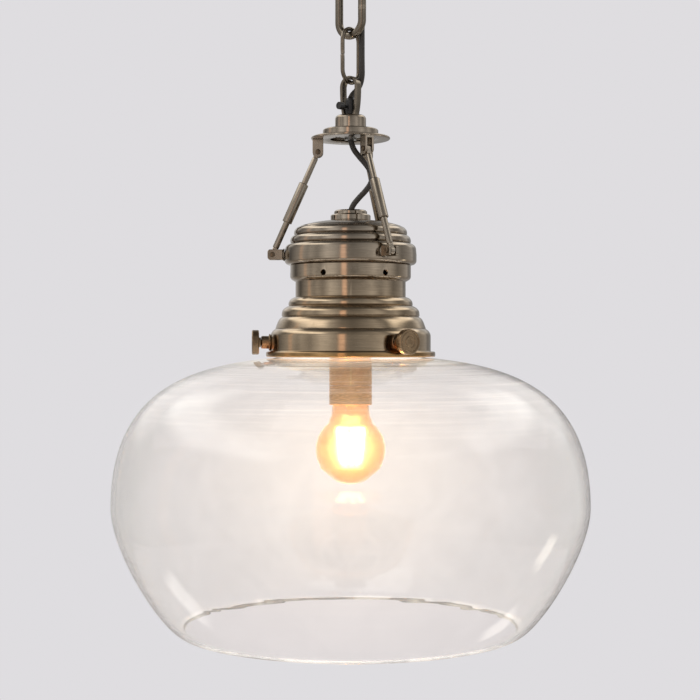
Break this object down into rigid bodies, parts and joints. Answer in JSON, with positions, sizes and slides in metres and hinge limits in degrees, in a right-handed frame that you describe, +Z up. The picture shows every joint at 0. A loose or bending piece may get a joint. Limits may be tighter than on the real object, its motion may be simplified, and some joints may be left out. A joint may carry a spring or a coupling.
{
  "type": "pendant light",
  "caption": "Old style chain hung pendant light with a clear glass shade, a stepped spun metal gallery, a strut hanger, thumbscrews, a cord and a ceiling canopy.",
  "frame": {"origin": "on the ceiling, midway between the two screw holes of the ceiling bracket, above the middle of the stem", "axes": "+Z up through the ceiling, along the lamp's axis; +X to the right as seen from the front; +Y away from the viewer"},
  "size_m": [0.4099, 0.41, 0.6811],
  "materials": {
    "nickel_brass": "brushed, antique",
    "dark_bronze": "satin, dark",
    "contact_brass": "bright",
    "plated_steel": "zinc plated",
    "blackened_steel": "black",
    "black_plastic": "matte",
    "cord_sheath": "matte",
    "white_ceramic": "glazed",
    "clear_glass": "clear, blown",
    "amber_glass": "clear, tinted",
    "filament": "glowing"
  },
  "bodies": {
    "ceiling_fitting": {"ceiling_bracket": "plated_steel", "canopy_cup": "nickel_brass", "canopy_stem": "plated_steel", "stem_nuts": "plated_steel", "terminal_block": "white_ceramic", "cord_bushing": "black_plastic", "canopy_lead": "cord_sheath", "canopy_collar": "nickel_brass", "canopy_loop": "nickel_brass", "chain_cord_0": "cord_sheath"},
    "link_0": {"chain_link_0": "nickel_brass", "chain_cord_1": "cord_sheath"},
    "link_1": {"chain_link_1": "nickel_brass", "chain_cord_2": "cord_sheath"},
    "link_2": {"connector_link": "nickel_brass", "chain_cord_3": "cord_sheath"},
    "pendant": {"hanging_bow": "nickel_brass", "cord_grip": "black_plastic", "grip_screw": "blackened_steel", "hub_cap": "nickel_brass", "hub_disc": "nickel_brass", "hub_nipple": "plated_steel", "top_plate": "nickel_brass", "upper_clevises": "nickel_brass", "upper_pins": "dark_bronze", "upper_rod_left": "nickel_brass", "upper_rod_front": "nickel_brass", "upper_rod_back": "nickel_brass", "sleeve_left": "nickel_brass", "sleeve_front": "nickel_brass", "sleeve_back": "nickel_brass", "lower_rod_left": "nickel_brass", "lower_rod_front": "nickel_brass", "lower_rod_back": "nickel_brass", "lower_clevises": "nickel_brass", "lower_pins": "dark_bronze", "clevis_nuts": "plated_steel", "lead_cord": "cord_sheath", "cord_nut": "nickel_brass", "crown": "nickel_brass", "vent_collar": "nickel_brass", "fitter": "nickel_brass", "spider_plate": "plated_steel", "main_nipple": "plated_steel", "pendant_nuts": "plated_steel", "boss_nuts": "dark_bronze", "glass_shade": "clear_glass", "holder_cap": "nickel_brass", "holder_barrel": "nickel_brass", "holder_ring": "nickel_brass", "holder_core": "white_ceramic", "holder_thread": "contact_brass"},
    "bulb": {"bulb_glass": "amber_glass", "bulb_cap": "plated_steel", "bulb_contact": "black_plastic", "bulb_stem": "clear_glass", "bulb_filaments": "filament"},
    "screw_left": {"thumbscrew_left": "dark_bronze"},
    "screw_front": {"thumbscrew_front": "dark_bronze"},
    "screw_back": {"thumbscrew_back": "dark_bronze"}
  },
  "joints": [
    {"name": "swing_0", "type": "hinge", "parent": "ceiling_fitting", "child": "link_0", "pos_m": [0, 0, -0.0922], "axis": [0.788, -0.6157, 0], "range_deg": [-20, 20], "deforming": ["chain_cord_0"]},
    {"name": "swing_1", "type": "hinge", "parent": "link_0", "child": "link_1", "pos_m": [0, 0, -0.1304], "axis": [0.6157, 0.788, 0], "range_deg": [-20, 20], "deforming": ["chain_cord_1"]},
    {"name": "swing_2", "type": "hinge", "parent": "link_1", "child": "link_2", "pos_m": [0, 0, -0.1681], "axis": [0.788, -0.6157, 0], "range_deg": [-20, 20], "deforming": ["chain_cord_2"]},
    {"name": "swing_3", "type": "hinge", "parent": "link_2", "child": "pendant", "pos_m": [0, 0, -0.2089], "axis": [0.6428, 0.766, 0], "range_deg": [-20, 20], "deforming": ["chain_cord_3"]},
    {"name": "bulb_out", "type": "slide", "parent": "pendant", "child": "bulb", "axis": [0, 0, -1], "range_m": [0, 0.03]},
    {"name": "screw_left_out", "type": "slide", "parent": "pendant", "child": "screw_left", "axis": [-0.9962, -0.0872, 0], "range_m": [0, 0.007]},
    {"name": "screw_front_out", "type": "slide", "parent": "pendant", "child": "screw_front", "axis": [0.5736, -0.8192, 0], "range_m": [0, 0.007]},
    {"name": "screw_back_out", "type": "slide", "parent": "pendant", "child": "screw_back", "axis": [0.4226, 0.9063, 0], "range_m": [0, 0.007]}
  ]
}
